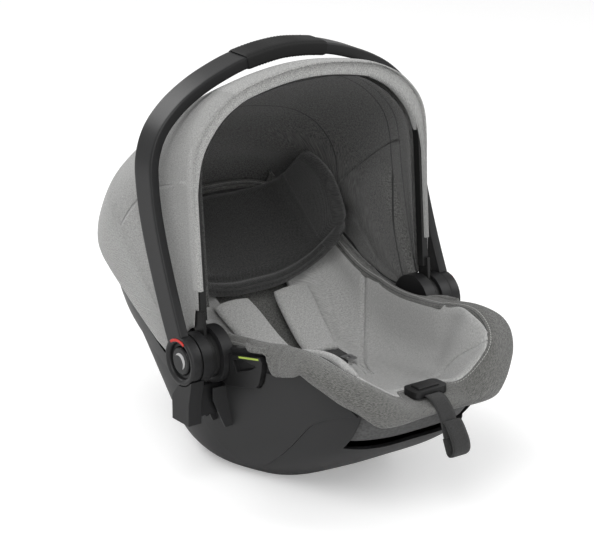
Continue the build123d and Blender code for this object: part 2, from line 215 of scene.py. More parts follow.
def dress(names, material):
    """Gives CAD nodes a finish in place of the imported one, and smooth shading over welded faces."""
    for name in names:
        piece = node[name]
        piece.data.materials.clear()
        piece.data.materials.append(material)
        piece.data.polygons.foreach_set("use_smooth", np.ones(len(piece.data.polygons), bool))
        weld = piece.modifiers.new("weld", "WELD")
        weld.merge_threshold = 0.00002
        split = piece.modifiers.new("split", "EDGE_SPLIT")
        split.split_angle = math.radians(32)


shell_plastic = moulded("shell plastic", (0.019, 0.019, 0.0195), 0.46, 0.0009, 0.00010)
dress(["outer_shell", "belt_hook", "side_panel_left", "side_panel_right"], shell_plastic)
foot_rubber = moulded("foot rubber", (0.012, 0.012, 0.012), 0.75, 0.0006, 0.00012)
dress(["foot_left", "foot_right"], foot_rubber)

# Belt guides and the strip round the head end: smoother black mouldings clipped to the shell.
# A pale green line marks each place where the lap belt goes.
trim_plastic = moulded("trim plastic", (0.010, 0.010, 0.0103), 0.34, 0.0007, 0.00005)
dress(["belt_guide_left", "belt_guide_right", "rim_strip_left", "rim_strip_right"], trim_plastic)
marker_green = moulded("marker green", (0.38, 0.50, 0.09), 0.4, 0.0006, 0.00003, 0.0)
dress(["belt_marker_left", "belt_marker_right"], marker_green)

# Hubs: mounts through the shell wall, dock legs below them, and the press buttons in the rings.
# The buttons are glossy, with a pale crescent and a red lens that shows the lock state.
hub_plastic = moulded("hub plastic", (0.012, 0.012, 0.0125), 0.40, 0.0008, 0.00006)
dress(["hub_mount_left", "hub_mount_right", "dock_leg_left", "dock_leg_right"], hub_plastic)
button_plastic = moulded("button plastic", (0.010, 0.010, 0.0105), 0.22, 0.0008, 0.00002)
dress(["lock_button_left", "lock_button_right"], button_plastic)
mark_grey = moulded("mark grey", (0.42, 0.42, 0.42), 0.45, 0.0006, 0.00002, 0.0)
dress(["button_mark_left", "button_mark_right"], mark_grey)
lens_red = moulded("lens red", (0.55, 0.02, 0.012), 0.2, 0.0008, 0.00001, 0.0)
dress(["state_lens_left", "state_lens_right"], lens_red)

# Foam liner: moulded energy-absorbing bead foam between the shell and the cover.
# Only its edge can be seen, in the gap under the front of the cover.
# The plate behind the head support is hidden, and gets the same finish.
foam_grey, foam_place, _ = start_finish("bead foam")
beads = foam_place.add("ShaderNodeTexVoronoi", {}, {"Vector": foam_place, "Scale": 260.0})
end_finish(foam_grey, beads.tint((0.05, 0.05, 0.05), (0.10, 0.10, 0.10)), 0.8, beads, 0.0006)
dress(["foam_liner", "headrest_plate"], foam_grey)

# Carry handle: a hollow bow in grained plastic, dished between a raised bead along each edge.
# It leans back from the hubs and turns on their bosses, and a ring at each end holds the lock button.


def runs(points, axis):
    """Distance gone along one axis of a grid of points, from its first row."""
    steps = np.linalg.norm(np.diff(points, axis=axis), axis=-1)
    start = np.zeros_like(np.take(steps, [0], axis=axis))
    return np.concatenate([start, np.cumsum(steps, axis=axis)], axis=axis)


def read_along(at, places, line):
    """Points of a line at some places along it, read straight between its own points."""
    return np.stack([np.interp(at, places, line[:, k]) for k in range(line.shape[1])], axis=-1)


def smooth_line(points, count):
    """Catmull-Rom curve through the points, resampled at even steps of its own length."""
    given = np.asarray(points, float)
    ends = np.vstack([2 * given[0] - given[1], given, 2 * given[-1] - given[-2]])
    at = np.linspace(0, len(given) - 1 - 1e-9, 60 * len(given))
    first = at.astype(int)
    f = (at - first)[:, None]
    a, b, c, d = (ends[first + k] for k in range(4))
    line = b + 0.5 * f * (c - a + f * (2 * a - 5 * b + 4 * c - d + f * (3 * (b - c) + d - a)))
    run = runs(line, 0)
    return read_along(np.linspace(0, run[-1], count), run, line)


def follow(at, places, values):
    """Smooth value at places between given ones: linear reading of a finely drawn curve."""
    fine = smooth_line(np.stack([places, values], axis=1), 600)
    return np.interp(at, fine[:, 0], fine[:, 1])


def step(value, low, high):
    """0 below low, 1 above high, and a smooth S between."""
    t = np.clip((value - low) / (high - low), 0, 1)
    return t * t * (3 - 2 * t)


def make_piece(name, layers, finish, weld=0.0):
    """One object from grids of points with their UV maps in metres; seams are welded if asked."""
    points, faces, marks, start = [], [], [], 0
    for grid, chart in layers:
        rows, columns = grid.shape[:2]
        number = start + np.arange(rows * columns).reshape(rows, columns)
        quads = np.stack([number[:-1, :-1], number[1:, :-1], number[1:, 1:], number[:-1, 1:]], -1)
        points.append(grid.reshape(-1, 3))
        faces.append(quads.reshape(-1, 4))
        marks.append(chart.reshape(-1, 2))
        start += rows * columns
    points, faces, marks = (np.concatenate(part) for part in (points, faces, marks))
    mesh = bpy.data.meshes.new(name)
    mesh.from_pydata(points.tolist(), [], faces.tolist())
    mesh.uv_layers.new(name="chart").data.foreach_set("uv", marks[faces.ravel()].ravel())
    mesh.polygons.foreach_set("use_smooth", np.ones(len(faces), bool))
    if weld:
        work = bmesh.new()
        work.from_mesh(mesh)
        bmesh.ops.remove_doubles(work, verts=work.verts, dist=weld)
        bmesh.ops.dissolve_degenerate(work, edges=work.edges, dist=1e-7)
        bmesh.ops.recalc_face_normals(work, faces=work.faces)
        work.to_mesh(mesh)
        work.free()
    mesh.materials.append(finish)
    made = bpy.data.objects.new(name, mesh)
    bpy.context.scene.collection.objects.link(made)
    return made


def chart_of(grid):
    """UV map in metres: the distance gone along the two directions of the grid."""
    return np.stack([runs(grid, 1), runs(grid, 0)], axis=-1)


def squared(wave, power):
    """A sine or cosine made squarer: its sign times its size to a power, as in a superellipse."""
    return np.sign(wave) * np.abs(wave) ** power


handle_plastic = moulded("handle plastic", (0.014, 0.014, 0.0145), 0.38, 0.0008, 0.00007, 0.0)
BOW_HALF = np.array([(214, 211), (214, 260), (214, 330), (214, 395), (211, 435), (197, 469),
                     (172, 495.5), (141, 515.5), (104, 531.5), (60, 544), (0, 550.5)]) / 1000
LEAN = np.array([(-34, 185), (-8, 240), (13, 290), (31, 340), (43, 390), (50, 450), (52, 510),
                 (52, 575)]) / 1000
HUB_Y = -0.034
HUB_Z = 0.185
BOW_STEPS = 400
BOW_LINE = smooth_line(np.vstack([BOW_HALF * (-1, 1), BOW_HALF[-2::-1]]), BOW_STEPS + 1)


def bow_bar(first, last, proud, dish, ribs):
    """Rounded bar over a stretch of the handle's arch, by shares of its length.

    Each section is a superellipse: thick along the arch's normal in front view, wide square to
    the lean. A dish hollows its two broad faces, and ribs are waves that far apart."""
    line = BOW_LINE[int(first * BOW_STEPS):int(last * BOW_STEPS) + 1]
    way = np.gradient(line, axis=0)
    way /= np.linalg.norm(way, axis=1, keepdims=True)
    height = line[:, 1]
    y = follow(height, LEAN[:, 1], LEAN[:, 0])
    slope = (follow(height + 0.002, LEAN[:, 1], LEAN[:, 0]) - y) / 0.002
    width = np.stack([0 * slope, np.ones_like(slope), -slope], axis=-1)
    width = width / np.sqrt(1 + slope ** 2)[:, None]
    out = np.stack([-way[:, 1], 0 * y, way[:, 0]], axis=-1)
    turn = np.linspace(0, 2 * np.pi, 65)
    side = squared(np.sin(turn), 0.34)
    face = squared(np.cos(turn), 0.34)
    thick = np.interp(height, [0.395, 0.55], [0.008, 0.0095]) + proud
    if ribs:
        run = runs(line, 0)
        ends = np.minimum(run, run[-1] - run)
        wave = 0.0005 * np.sin(run * 2 * np.pi / ribs) * step(ends, 0.012, 0.016)
        lip = proud * (1 - step(ends, 0, 0.003))
        thick = thick + wave - lip
    wide = np.interp(height, LEAN[:, 1], np.linspace(0.0175, 0.021, len(LEAN))) + proud
    dished = 1 - dish * (1 - np.abs(side) ** 5)
    centre = np.stack([line[:, 0], y, height], axis=-1)[:, None, :]
    outwards = out[:, None, :] * (thick[:, None] * face * dished)[..., None]
    sideways = width[:, None, :] * (wide[:, None] * side)[..., None]
    return centre + outwards + sideways


def hub_ring(side):
    """Ring round the hub boss: a rounded section turned about the hub axis."""
    section = smooth_line([(0.2058, 0.0255), (0.2058, 0.0315), (0.2075, 0.0330), (0.2185, 0.0330),
                           (0.2212, 0.0318), (0.2220, 0.0296), (0.2214, 0.0270), (0.2196, 0.0246),
                           (0.2160, 0.0242), (0.2075, 0.0242), (0.2058, 0.0255)], 41)
    angle = np.linspace(0, 2 * np.pi, 97)[:, None]
    return np.stack([side * section[:, 0] + 0 * angle, HUB_Y + section[:, 1] * np.sin(angle),
                     HUB_Z + section[:, 1] * np.cos(angle)], axis=-1)


SEAM_GAP = 1e-6
bow_parts = [bow_bar(0.0, 1.0, 0.0, 0.16, 0.0), hub_ring(-1), hub_ring(1)]
bow = make_piece("carry_bow", [(grid, chart_of(grid)) for grid in bow_parts], handle_plastic, SEAM_GAP)
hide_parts("handle_bow")
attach(bow, "handle")

# Handle grip: a soft rubber sleeve moulded over the top of the bow, with fine cross ribs.
# Its ends are thinned to a lip that lies on the plastic.
grip_rubber = moulded("grip rubber", (0.008, 0.008, 0.008), 0.62, 0.0006, 0.00010, 0.0)
sleeve_grid = bow_bar(0.434, 0.566, 0.0011, 0.0, 0.0046)
grip = make_piece("grip_sleeve", [(sleeve_grid, chart_of(sleeve_grid))], grip_rubber, SEAM_GAP)
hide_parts("handle_grip")
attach(grip, "handle")

# Canopy bows: two flat hoops in stiff black plastic, pivoted on the inner ends of the hubs.
# The front bow is turned by hand, and the cloth drags the middle bow along.
bow_plastic = moulded("bow plastic", (0.012, 0.012, 0.012), 0.42, 0.0008, 0.00006)
dress(["canopy_hoop", "mid_hoop"], bow_plastic)

# Harness hardware: the buckle with its red press, two steel tongues and the strap adjuster.
# The buckle lies on the crotch pad, and the adjuster is let into the foot end of the cover.
dress(["buckle_body", "adjuster_frame", "adjuster_button"], trim_plastic)
press_red = moulded("press red", (0.45, 0.015, 0.012), 0.35, 0.0008, 0.00003)
dress(["buckle_button"], press_red)
tongue_steel, steel_place, _ = start_finish("tongue steel")
brushed = steel_place.drawn(1.0, 12.0).spots(900.0, 2.0)
end_finish(tongue_steel, brushed.tint((0.42, 0.42, 0.43), (0.55, 0.55, 0.56)), 0.25 + brushed * 0.15,
           brushed, 0.00002, 0.0, Metallic=1.0)
dress(["buckle_tongue_left", "buckle_tongue_right"], tongue_steel)

# Seat cover, back part: one layer of dark melange knit that lines the hollow behind the child.
# It is cut in one with the border and tucked behind the light insert.
# SEAT_ROWS holds rows of the hollow: place along, height of floor, half width, rise of corner.
SEAT_ROWS = np.array([(-285, 168, 100, 16), (-246, 146, 107, 32), (-205, 130, 116, 44),
                      (-115, 108, 134, 52), (-34, 99, 143, 54), (40, 118, 146, 50),
                      (110, 168, 146, 42), (180, 227, 138, 34), (246, 283, 118, 28)]) / 1000
RIM_LINE = np.array([(-345, 170), (-310, 186), (-298, 192), (-285, 199), (-260, 211), (-231, 221),
                     (-200, 226), (-169, 221), (-115, 210), (-34, 199), (40, 203), (80, 214),
                     (112, 232), (150, 253), (190, 270), (240, 288), (285, 292), (345, 292)]) / 1000
CURVED_SHARE = 0.74
CORNER_POWER = 0.7


def hollow(across, y, grow):
    """Seat hollow at a share across it (-1 to 1) and a place y, grown outwards.

    Each section is a superellipse quarter from the floor to the side, then a straight wall."""
    floor = follow(y, SEAT_ROWS[:, 0], SEAT_ROWS[:, 1]) - 1.2 * grow
    width = follow(y, SEAT_ROWS[:, 0], SEAT_ROWS[:, 2]) + grow
    corner = follow(y, SEAT_ROWS[:, 0], SEAT_ROWS[:, 3])
    top = np.maximum(follow(y, RIM_LINE[:, 0], RIM_LINE[:, 1]) - 0.004, floor + corner + 0.004)
    turn = np.clip(np.abs(across) / CURVED_SHARE, 0, 1) * np.pi / 2
    x = width * np.sin(turn) ** CORNER_POWER
    rise = corner * (1 - np.cos(turn) ** CORNER_POWER)
    up_wall = np.clip((np.abs(across) - CURVED_SHARE) / (1 - CURVED_SHARE), 0, 1)
    wall = up_wall * (top - floor - corner)
    return np.stack([np.sign(across) * x, y + 0 * x, floor + rise + wall], axis=-1)


def woven(name, dark, light, thread, contrast, twill=False, fuzz=0.3, lines=()):
    """Melange cloth on its UV chart: fibres drawn out both ways, a fine weave and sewn lines.

    A twill has slanting ribs, a plain weave small squares. Each line is (place across the chart,
    half width, colour, dash length)."""
    material, _, chart = start_finish(name)
    warp = chart.drawn(1.0, 6.0).spots(230.0, 2.0)
    weft = chart.drawn(6.0, 1.0).spots(230.0, 2.0)
    speck = chart.spots(520.0, 2.0)
    along = chart.part(0) * (2 * math.pi / thread)
    across = chart.part(1) * (2 * math.pi / thread)
    weave = (along + across).sine() if twill else along.sine() * across.sine()
    mixed = (warp + weft + speck - 1.5) * contrast + weave * 0.1 + 0.5
    colour = mixed.tint(dark, light)
    height = weave * 0.6 + speck
    for place, half, shade, dash in lines:
        on = half - (chart.part(1) - place).size()
        mask = on.above(0.0)
        if dash:
            mask = mask * (chart.part(0) * (2 * math.pi / dash)).sine().above(-0.3)
        colour = mask.over(shade, colour)
        height = height - mask * 1.5
    return end_finish(material, colour, 0.88, height, 0.0004, 0.0,
                      Sheen_Weight=fuzz, Sheen_Roughness=0.5)


def add_skin(piece, thickness, offset):
    """Gives an open sheet a thickness: to its inner side at an offset of -1, to both sides at 0."""
    skin = piece.modifiers.new("skin", "SOLIDIFY")
    skin.thickness = thickness
    skin.offset = offset


cover_knit = woven("cover melange", (0.050, 0.050, 0.047), (0.165, 0.165, 0.155), 0.0018, 2.6,
                   lines=((0.0, 0.0006, (0.03, 0.03, 0.03), 0.0),
                          (-0.0042, 0.0005, (0.5, 0.5, 0.48), 0.0042)))
across, along = np.meshgrid(np.linspace(-1, 1, 81), np.linspace(-0.02, 0.245, 61))
back_grid = hollow(across, along, 0.0015)
CLEAR_OF_STITCHES = 0.02
back_chart = chart_of(back_grid) + CLEAR_OF_STITCHES
cover_back = make_piece("cover_back", [(back_grid, back_chart)], cover_knit)
add_skin(cover_back, 0.002, -1)
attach(cover_back, "seat")

# Seat cover, border: a padded flap that is pulled over the rim of the shell and hooked under it.
# It is dark melange, wide and slanted at the foot end, with a pale dotted topstitch by the seam.
# PLAN_ROWS holds the shell's outline: height, foot end, head end, half widths from foot to head.
PLAN_ROWS = np.array([(150, -282, 234, 122, 166, 156), (205, -291, 284, 133, 171, 158),
                      (250, -295, 296, 140, 174, 152), (330, -297, 284, 142, 172, 146)]) / 1000
WIDEST_Y = 0.015


def rim_loop(turn, z):
    """Shell outline at a height: two half superellipses, turn 0 at the foot end and pi at the head."""
    front, rear, w_front, w_mid, w_rear = (
        np.interp(z, PLAN_ROWS[:, 0], PLAN_ROWS[:, k]) for k in range(1, 6))
    ahead = np.abs(turn) <= np.pi / 2
    power = np.where(ahead, 0.42, 0.5)
    lengthways = np.abs(np.cos(turn)) ** power
    sideways = np.abs(np.sin(turn)) ** power
    x = (w_mid * (1 - lengthways) + np.where(ahead, w_front, w_rear) * lengthways) * sideways
    y = WIDEST_Y + (np.where(ahead, front, rear) - WIDEST_Y) * lengthways
    return np.stack([np.sign(turn) * x, y], axis=-1)


def rim_height(x, y):
    """Height of the padded rim: the side-view line, lower in the dip at the foot end."""
    dip = follow(np.abs(x), [0, 0.030, 0.050, 0.075, 0.103, 0.125, 0.145, 0.2],
                 [0.1625, 0.1635, 0.170, 0.184, 0.203, 0.216, 0.235, 0.30])
    side = follow(y, RIM_LINE[:, 0], RIM_LINE[:, 1])
    return np.where(y < -0.2, np.minimum(side, dip), side)


def rounded(values, reach):
    """Running mean round a closed loop whose last value repeats the first."""
    padded = np.concatenate([values[-reach - 1:-1], values, values[1:reach + 1]])
    return np.convolve(padded, np.ones(2 * reach + 1) / (2 * reach + 1), "valid")


RIM_STEPS = 400
turn = np.linspace(-np.pi, np.pi, 4001)
loop = rim_loop(turn, 0.23)
loop = rim_loop(turn, rim_height(loop[:, 0], loop[:, 1]))
gone = runs(loop, 0)
evenly = np.linspace(0, gone[-1], RIM_STEPS + 1)
loop = read_along(evenly, gone, loop)
around = np.gradient(np.vstack([loop[-2:-1], loop, loop[1:2]]), axis=0)[1:-1]
around = np.stack([rounded(around[:, k], 4) for k in range(2)], axis=-1)
around /= np.linalg.norm(around, axis=1, keepdims=True)
away = np.stack([around[:, 1], -around[:, 0]], axis=-1)
from_foot = np.abs(evenly - gone[-1] / 2)
in_front = 1 - step(loop[:, 1], -0.112, -0.072)
spread = follow(from_foot, [0, 0.07, 0.11, 0.14, 0.17, 0.20, 0.24, 0.30, 1.2],
                [0.011, 0.013, 0.019, 0.025, 0.023, 0.014, 0.006, 0.0034, 0.0034])
edge = spread * in_front - (1 - in_front) * (0.016 - 0.008 * step(loop[:, 1], 0.02, 0.06))
rim_z = rounded(rim_height(loop[:, 0], loop[:, 1]), 6)
edge_y = loop[:, 1] + away[:, 1] * edge
LOW_EDGE = np.array([(-330, 146), (-298, 147), (-290, 158), (-283, 170), (-268, 183), (-250, 197),
                     (-217, 210), (-208, 209), (-200, 203), (-174, 194), (-150, 186), (-144, 193),
                     (-139, 207)]) / 1000
hanging = np.minimum(follow(edge_y, LOW_EDGE[:, 0], LOW_EDGE[:, 1]), rim_z - 0.002)
on_rim = rim_z + 0.002 - 0.006 * step(edge_y, -0.09, -0.07)
low_z = np.where(edge_y > LOW_EDGE[-1, 0], on_rim, hanging)
low_z = rounded(low_z, 1)
at_foot = step(-loop[:, 1], 0.225, 0.285)
seam = follow(from_foot, [0, 0.028, 0.046, 0.08, 0.12, 0.15, 0.20, 0.25, 0.32, 1.2],
              [0.040, 0.040, 0.015, 0.010, 0.006, 0.007, 0.013, 0.021, 0.026, 0.026])
crown = 0.006 - 0.004 * at_foot
top_out = low_z + (rim_z - low_z) * (0.88 - 0.33 * at_foot)
# The border's section from its tucked lower edge to its seam: distance out from the rim, height.
shape = [(np.minimum(edge - 0.001, 0.0015), low_z + 0.003),
         (edge - 0.002, low_z),
         (edge + 0.0025, low_z + 0.004),
         (edge + 0.0034, 0.5 * (low_z + top_out)),
         (edge, top_out),
         (0.5 * (edge - seam), rim_z + crown - 0.003 * at_foot),
         (-seam, rim_z + 0.4 * crown),
         (-seam - 0.001, rim_z - 0.002)]
profile = np.stack([np.concatenate([loop + away * e[:, None], z[:, None]], axis=1) for e, z in shape])
seam_line = profile[-2]
BORDER_ROWS = 34
profile = smooth_line(profile.reshape(len(shape), -1), BORDER_ROWS).reshape(BORDER_ROWS, -1, 3)
seam_row = np.argmin(np.linalg.norm(profile - seam_line, axis=2).sum(axis=1))
border_chart = chart_of(profile)
border_chart[..., 1] -= border_chart[seam_row, :, 1]
seat_border = make_piece("seat_border", [(profile, border_chart)], cover_knit)
add_skin(seat_border, 0.003, 0)
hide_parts("seat_cover")
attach(seat_border, "seat")

# Infant insert: a quilted pad in pale melange jersey that lies loose in the seat.
# Its sides climb beside the head support, and the middle stops below the harness slots.
insert_jersey = woven("insert jersey", (0.27, 0.27, 0.265), (0.48, 0.48, 0.47), 0.0016, 2.0, fuzz=0.4)


def eased(count, share):
    """Numbers from 0 to 1 that crowd towards both ends, so a rim gets more points."""
    even = np.linspace(0.0, 1.0, count)
    return (1 - share) * even + share * (0.5 - 0.5 * np.cos(np.pi * even))


def outward(points):
    """Unit normal at each point of a grid: cross product of its two directions."""
    normal = np.cross(np.gradient(points, axis=0), np.gradient(points, axis=1))
    return normal / np.maximum(np.linalg.norm(normal, axis=-1, keepdims=True), 1e-12)


def stuffed(name, middle, thick, rim, finish):
    """Padded piece: two skins half a thickness each side of a middle surface, rounded at the rim.

    The half thickness goes as a quarter circle over the last rim metres to each border."""
    down = runs(middle, 0)
    across = runs(middle, 1)
    to_ends = np.minimum(down, down[-1:] - down)
    to_sides = np.minimum(across, across[:, -1:] - across)
    inside = np.minimum(to_ends, to_sides)
    near = 1 - np.clip(inside / rim, 0, 1)
    half = (0.5 * thick * np.sqrt(1 - near * near))[..., None] * outward(middle)
    chart = chart_of(middle)
    skins = [(middle + half, chart), ((middle - half)[::-1], chart[::-1])]
    return make_piece(name, skins, finish, SEAM_GAP)


pad_edge = seam_line + np.concatenate([away * 0.002, np.full((len(away), 1), 0.001)], axis=1)
half_seam = pad_edge[RIM_STEPS // 2:]
half_run = from_foot[RIM_STEPS // 2:]
CORNER_RUN = 0.130
PAD_LIFT = 0.0075
across, share = np.meshgrid(2 * eased(161, 0.3) - 1, eased(161, 0.3))
beside = np.abs(across)
front_edge = read_along(beside * CORNER_RUN, half_run, half_seam)
quarter = np.clip(beside / CURVED_SHARE, 0, 1) * np.pi / 2
out_from_middle = 0.146 * np.sin(quarter) ** CORNER_POWER
far_end = -0.015 + 0.195 * step(out_from_middle, 0.048, 0.074)
along = front_edge[..., 1] + (far_end - front_edge[..., 1]) * share
insert_middle = hollow(across, along, -PAD_LIFT)
past_corner = half_run >= CORNER_RUN
side_edge = read_along(along, half_seam[past_corner, 1], half_seam[past_corner])
to_side = side_edge - hollow(np.ones_like(across), along, -PAD_LIFT)
mirror = np.stack([np.sign(across), 1 + 0 * across, 1 + 0 * across], axis=-1)
insert_middle = insert_middle + mirror * to_side * step(beside, 0.55, 1.0)[..., None]
to_front = (mirror * front_edge - insert_middle)[:1]
insert_middle = insert_middle + to_front * (1 - step(share, 0.0, 0.25))[..., None]
SMOOTHINGS = 14
for _ in range(SMOOTHINGS):
    neighbours = insert_middle[1:-1, 2:] + insert_middle[1:-1, :-2]
    neighbours = neighbours + insert_middle[2:, 1:-1] + insert_middle[:-2, 1:-1]
    insert_middle[1:-1, 1:-1] = 0.25 * neighbours
CREASE_WIDTH = 0.0045
out_x = np.abs(insert_middle[..., 0])
back_crease = -0.066 + 1.22 * (out_x - 0.052)
front_crease = -0.206 - 0.056 * step(out_x, 0.085, 0.115)
sewn = np.exp(-((along - back_crease) / CREASE_WIDTH) ** 2) * step(out_x, 0.040, 0.065)
sewn = sewn + 0.8 * np.exp(-((along - front_crease) / CREASE_WIDTH) ** 2)
corner = np.exp(-((out_x - 0.122) / 0.028) ** 2 - ((along + 0.214) / 0.036) ** 2)
insert_middle = insert_middle - 0.012 * corner[..., None] * outward(insert_middle)
insert_middle = insert_middle + 0.0025 * sewn[..., None] * outward(insert_middle)
under_sleeve = step(along, -0.03, 0.02) * (1 - step(out_x, 0.078, 0.095))
fullness = 0.012 * (1 - 0.45 * np.clip(sewn, 0, 1)) * (1 - 0.6 * under_sleeve)
seat_insert = stuffed("insert_pad", insert_middle, fullness, 0.016, insert_jersey)
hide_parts("seat_insert")
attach(seat_insert, "seat")

# Head support: a deep winged bowl of foam in charcoal mesh, carried on a plate that slides up.
# A sewn roll runs round its lower edge.
head_mesh = woven("head mesh", (0.007, 0.007, 0.007), (0.034, 0.034, 0.033), 0.0024, 2.4, fuzz=0.25)
HEAD_FOOT = np.array([0, 0.115, 0.172])
BOWL_SHARE = 0.62
up_back = np.array([0.0, 0.76604, 0.64279])
off_back = np.array([0.0, -0.64279, 0.76604])
across, share = np.meshgrid(2 * eased(101, 0.3) - 1, eased(71, 0.5))
reach = np.abs(across)
low = 0.006 + 0.016 * step(reach, 0.1, BOWL_SHARE)
high = 0.166 - 0.012 * reach
up = low + (high - low) * share
tip = follow(up, [0.0, 0.022, 0.027, 0.040, 0.061, 0.085, 0.102, 0.133, 0.160, 0.18],
             [0.060, 0.080, 0.100, 0.119, 0.130, 0.137, 0.139, 0.131, 0.114, 0.092])
bend = smooth_line([(0, 26), (45, 27), (80, 32), (104, 46), (114, 66)], 60) / 1000
bend_at = np.linspace(0, 1, len(bend))
x = np.where(reach < BOWL_SHARE, np.interp(reach / BOWL_SHARE, bend_at, bend[:, 0]),
             0.114 + 0.006 * (reach - BOWL_SHARE) / (1 - BOWL_SHARE))
out = np.where(reach < BOWL_SHARE, np.interp(reach / BOWL_SHARE, bend_at, bend[:, 1]),
               0.066 + (tip - 0.066) * (reach - BOWL_SHARE) / (1 - BOWL_SHARE))
head_middle = HEAD_FOOT + np.stack([np.sign(across) * x, 0 * x, 0 * x], -1)
head_middle = head_middle + out[..., None] * off_back + up[..., None] * up_back
roll = 1 - 0.45 * np.exp(-((share - 0.11) / 0.025) ** 2)
head_pad = stuffed("head_pad", head_middle, 0.024 * roll, 0.012, head_mesh)
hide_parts("headrest_pad")
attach(head_pad, "headrest")

# Harness: flat polyester webbing under two padded sleeves, a crotch pad under the buckle.
# The sleeves lean in towards the buckle and are faced with the same jersey as the insert.
webbing = woven("webbing", (0.010, 0.010, 0.010), (0.030, 0.030, 0.030), 0.0016, 1.2, fuzz=0.1)


def ribbon(centre, half_width, count):
    """Flat band: a smooth centre line (x, y, z) carried sideways by half its width."""
    line = smooth_line(np.array(centre) / 1000, count)
    side = np.linspace(-1, 1, 9)[None, :, None] * np.array([half_width, 0, 0])
    return line[:, None, :] + side


for name, side in (("left", -1), ("right", 1)):
    route = [(side * 51, 103, 185.4), (side * 48, 70, 163.6), (side * 44, 22, 131.3),
             (side * 43, 0, 129.7), (side * 41, -29, 128.4)]
    strap = stuffed("strap_" + name, ribbon(route, 0.017, 70), 0.0017, 0.0012, webbing)
    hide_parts("shoulder_strap_" + name)
    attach(strap, "seat")
    across, share = np.meshgrid(2 * eased(41, 0.7) - 1, eased(61, 0.7))
    bends = np.array([(31, -7, 135.0), (34, 10, 139.4), (39, 38, 153), (45, 72, 175.4),
                      (50, 98, 192)]) / 1000
    line = smooth_line(bends, 200)
    middle = read_along(share * (len(line) - 1), np.arange(len(line)), line)
    pulled_in = 1 - 0.10 * (np.abs(across) * np.abs(2 * share - 1)) ** 5
    wide = (0.026 + 0.004 * share) * across * pulled_in
    bowed = np.stack([wide, 0 * wide, -0.0035 * across ** 2], -1)
    middle = middle * np.array([side, 1, 1]) + bowed
    sleeve = stuffed("sleeve_" + name, middle, 0.011, 0.007, insert_jersey)
    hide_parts("shoulder_pad_" + name)
    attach(sleeve, "seat")

crotch_route = [(0, -98, 124.4), (0, -80, 123.4), (0, -62, 121), (0, -41, 118.5)]
crotch = stuffed("crotch_sleeve", ribbon(crotch_route, 0.022, 31), 0.005, 0.004, insert_jersey)
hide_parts("crotch_pad")
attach(crotch, "seat")

# Harness pull: webbing that comes out of the adjuster and hangs over the front.
# It ends in a folded loop, and leans a little to one side under its own weight.
pull_route = [(0, -274, 167.8), (0, -285, 167.8), (0.5, -293, 164.5), (2, -299.5, 157),
              (5, -303.4, 146), (9, -304.6, 130), (13, -304.2, 114)]
pull = stuffed("pull_webbing", ribbon(pull_route, 0.013, 60), 0.0016, 0.001, webbing)
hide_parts("pull_strap")
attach(pull, "seat")
loop_route = [(10, -306.2, 139), (12, -309.5, 134), (15, -314, 122), (18, -316.5, 110),
              (20, -316, 98), (21, -310, 89), (20, -304.5, 91), (18, -302.8, 100), (14, -302.6, 114)]
tab = stuffed("pull_tab", ribbon(loop_route, 0.0145, 90), 0.002, 0.001, webbing)
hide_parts("pull_loop")
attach(tab, "seat")

# Canopy: melange cloth over two bows, sewn to a sleeve round the front bow and tucked in behind.
# The sheet is arches turned about the hub axis, slack between the bows and cut to the strip behind.
HOOP = np.array([(187, 62), (187, 110), (187, 160), (187, 200), (187, 227), (184, 262), (173, 289),
                 (149, 316), (121, 334), (94, 344), (46, 353), (0, 356)])
LEG_FOOT = 0.062
LEG_TOP = 0.227
CLOTH_PROUD = 0.0024
LAST_ANGLE = 117.0
full_arch = np.vstack([HOOP * (-1, 1), HOOP[-2::-1]]) / 1000
arch = smooth_line(full_arch, 161)


def turned(x, r, angle):
    """Points at a distance from the hub axis, turned back from upright by an angle in degrees."""
    lean = np.radians(angle)
    return np.stack([x + 0 * lean, HUB_Y + r * np.sin(lean), HUB_Z + r * np.cos(lean)], axis=-1)


def shell_side(y, z):
    """Half width of the shell's outline behind its middle, at a place y and a height."""
    rear, w_mid, w_rear = (np.interp(z, PLAN_ROWS[:, 0], PLAN_ROWS[:, k]) for k in (2, 4, 5))
    share = np.clip((y - WIDEST_Y) / (rear - WIDEST_Y), 0.0, 0.995)
    return (w_mid * (1 - share) + w_rear * share) * (1 - share ** 4) ** 0.25


def soft_least(a, b, ease):
    """The lesser of two values, eased where they meet."""
    return 0.5 * (a + b - np.sqrt((a - b) ** 2 + ease ** 2))


